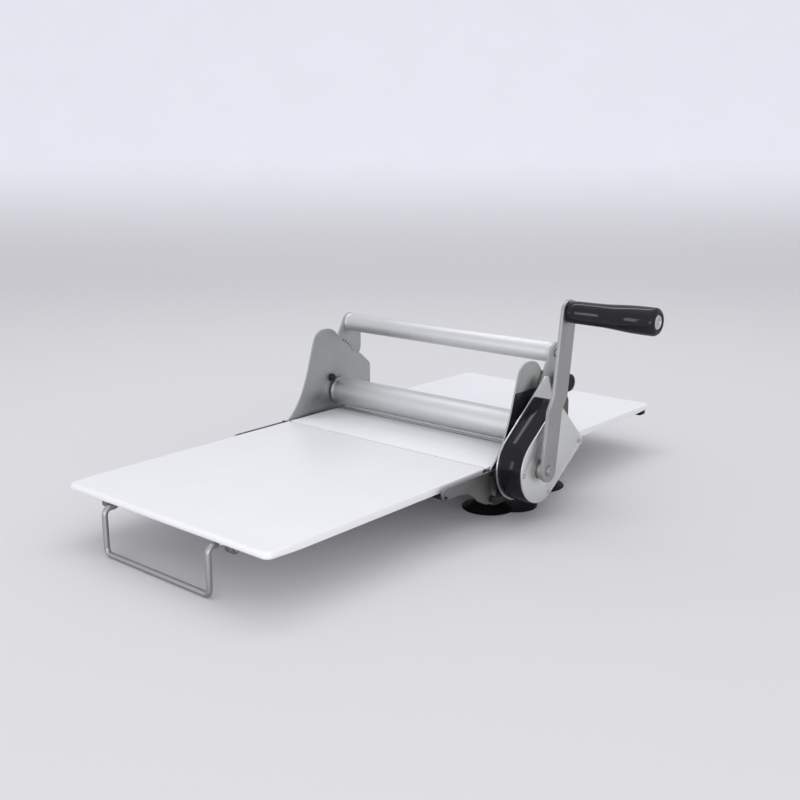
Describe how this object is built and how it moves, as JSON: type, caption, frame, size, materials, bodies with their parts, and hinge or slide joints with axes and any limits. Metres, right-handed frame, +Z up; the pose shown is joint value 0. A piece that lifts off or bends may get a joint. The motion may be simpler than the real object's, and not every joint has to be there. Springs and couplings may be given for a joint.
{
  "type": "bench roller press",
  "caption": "Hand-cranked bench roller press with two side plates, a lifting upper roller, a geared lower roller and folding feed tables on wire legs.",
  "frame": {"origin": "on the bench, midway between the side plates, 3 mm in front of the rollers", "axes": "+X along the rollers towards the crank, +Y from the front table to the rear table, +Z up"},
  "size_m": [0.6326, 0.9295, 0.323],
  "materials": {
    "white_table": "white, slightly cool, satin moulded",
    "plate_steel": "grey satin",
    "hidden_steel": "grey",
    "crank_steel": "brushed",
    "case_face_metal": "light grey satin",
    "bright_edge": "cut edge",
    "gloss_black": "glossy black",
    "black_rubber": "black rubber",
    "belt_rubber": "moulded belt",
    "black_oxide": "black",
    "zinc_plate": "zinc plated",
    "leg_wire": "dull plated wire",
    "clip_steel": "grey",
    "satin_aluminium": "satin",
    "bronze": "sintered bronze",
    "gear_steel": "cut gear steel",
    "black_pulley": "moulded",
    "disc_metal": "turned disc"
  },
  "bodies": {
    "frame": {"left_side_plate": "plate_steel", "right_side_plate": "plate_steel", "tie_rods": "zinc_plate", "tie_rod_screws": "zinc_plate", "front_bed_plate": "white_table", "rear_bed_plate": "white_table", "bed_rails": "hidden_steel", "bed_screws": "zinc_plate", "cup_bars": "hidden_steel", "suction_cups": "black_rubber", "cup_studs": "zinc_plate", "cup_nuts": "zinc_plate", "table_brackets": "plate_steel", "bracket_bolts": "black_oxide", "hinge_bolts": "black_oxide", "hinge_spacers": "black_oxide", "table_rest_pins": "black_oxide", "lever_pivot_bolts": "black_oxide", "lever_pivot_nuts": "zinc_plate", "roller_bushes": "bronze", "case_standoffs": "zinc_plate", "case_back_plate": "bright_edge", "case_rim": "gloss_black", "case_face": "case_face_metal", "case_screws": "zinc_plate", "case_foot": "black_rubber", "crank_bushes": "bronze", "idler_bushes": "bronze", "drive_belt": "belt_rubber"},
    "crank": {"crank_shaft": "zinc_plate", "big_pulley": "black_pulley", "crank_hub": "crank_steel", "crank_arm": "crank_steel", "crank_bolt": "crank_steel", "grip_spindle": "zinc_plate"},
    "grip": {"crank_grip": "gloss_black", "grip_end_disc": "disc_metal"},
    "counter_shaft": {"idler_shaft": "zinc_plate", "small_pulley": "black_pulley", "drive_pinion": "bronze"},
    "drive_roller": {"lower_roller": "satin_aluminium", "lower_axle": "zinc_plate", "roller_gear": "gear_steel"},
    "yoke": {"left_lift_arm": "plate_steel", "right_lift_arm": "plate_steel", "handle_tube": "satin_aluminium", "tube_plugs": "zinc_plate", "tube_screws": "zinc_plate", "press_axle": "zinc_plate"},
    "press": {"press_roller": "satin_aluminium", "press_roller_caps": "zinc_plate"},
    "knob": {"lock_knob": "gloss_black"},
    "front_leaf": {"front_table": "white_table", "front_leg_clips": "clip_steel"},
    "front_leg": {"front_leg_wire": "leg_wire"},
    "rear_leaf": {"rear_table": "white_table", "rear_leg_clips": "clip_steel", "rear_bumpers": "black_rubber"},
    "rear_leg": {"rear_leg_wire": "leg_wire"}
  },
  "joints": [
    {"name": "crank_spin", "type": "hinge", "parent": "frame", "child": "crank", "pos_m": [0.265, -0.0725, 0.0795], "axis": [1, 0, 0], "continuous": true},
    {"name": "grip_spin", "type": "hinge", "parent": "crank", "child": "grip", "pos_m": [0.34, -0.04215, 0.30396], "axis": [1, 0, 0], "continuous": true},
    {"name": "counter_spin", "type": "hinge", "parent": "frame", "child": "counter_shaft", "pos_m": [0.235, 0.008, 0.098], "axis": [1, 0, 0], "continuous": true},
    {"name": "drive_roller_spin", "type": "hinge", "parent": "frame", "child": "drive_roller", "pos_m": [0, 0.003, 0.06], "axis": [1, 0, 0], "continuous": true},
    {"name": "yoke_lift", "type": "hinge", "parent": "frame", "child": "yoke", "pos_m": [0, -0.015, 0.135], "axis": [1, 0, 0], "range_deg": [0, 27]},
    {"name": "press_roller_spin", "type": "hinge", "parent": "yoke", "child": "press", "pos_m": [0, 0.003, 0.11], "axis": [1, 0, 0], "continuous": true},
    {"name": "lock_knob_turn", "type": "hinge", "parent": "yoke", "child": "knob", "pos_m": [0.22, 0.046, 0.18], "axis": [1, 0, 0], "range_deg": [0, 360]},
    {"name": "front_table_fold", "type": "hinge", "parent": "frame", "child": "front_leaf", "pos_m": [0, -0.125, 0.075], "axis": [1, 0, 0], "range_deg": [-85, 0]},
    {"name": "rear_table_fold", "type": "hinge", "parent": "frame", "child": "rear_leaf", "pos_m": [0, 0.075, 0.075], "axis": [1, 0, 0], "range_deg": [0, 85]},
    {"name": "front_leg_fold", "type": "hinge", "parent": "front_leaf", "child": "front_leg", "pos_m": [0, -0.53, 0.0655], "axis": [1, 0, 0], "range_deg": [0, 90]},
    {"name": "rear_leg_fold", "type": "hinge", "parent": "rear_leaf", "child": "rear_leg", "pos_m": [0, 0.36, 0.0655], "axis": [1, 0, 0], "range_deg": [0, 90]}
  ],
  "couplings": [
    {"joint": "counter_spin", "follows": "crank_spin", "ratio": 3},
    {"joint": "drive_roller_spin", "follows": "crank_spin", "ratio": -2.1}
  ]
}
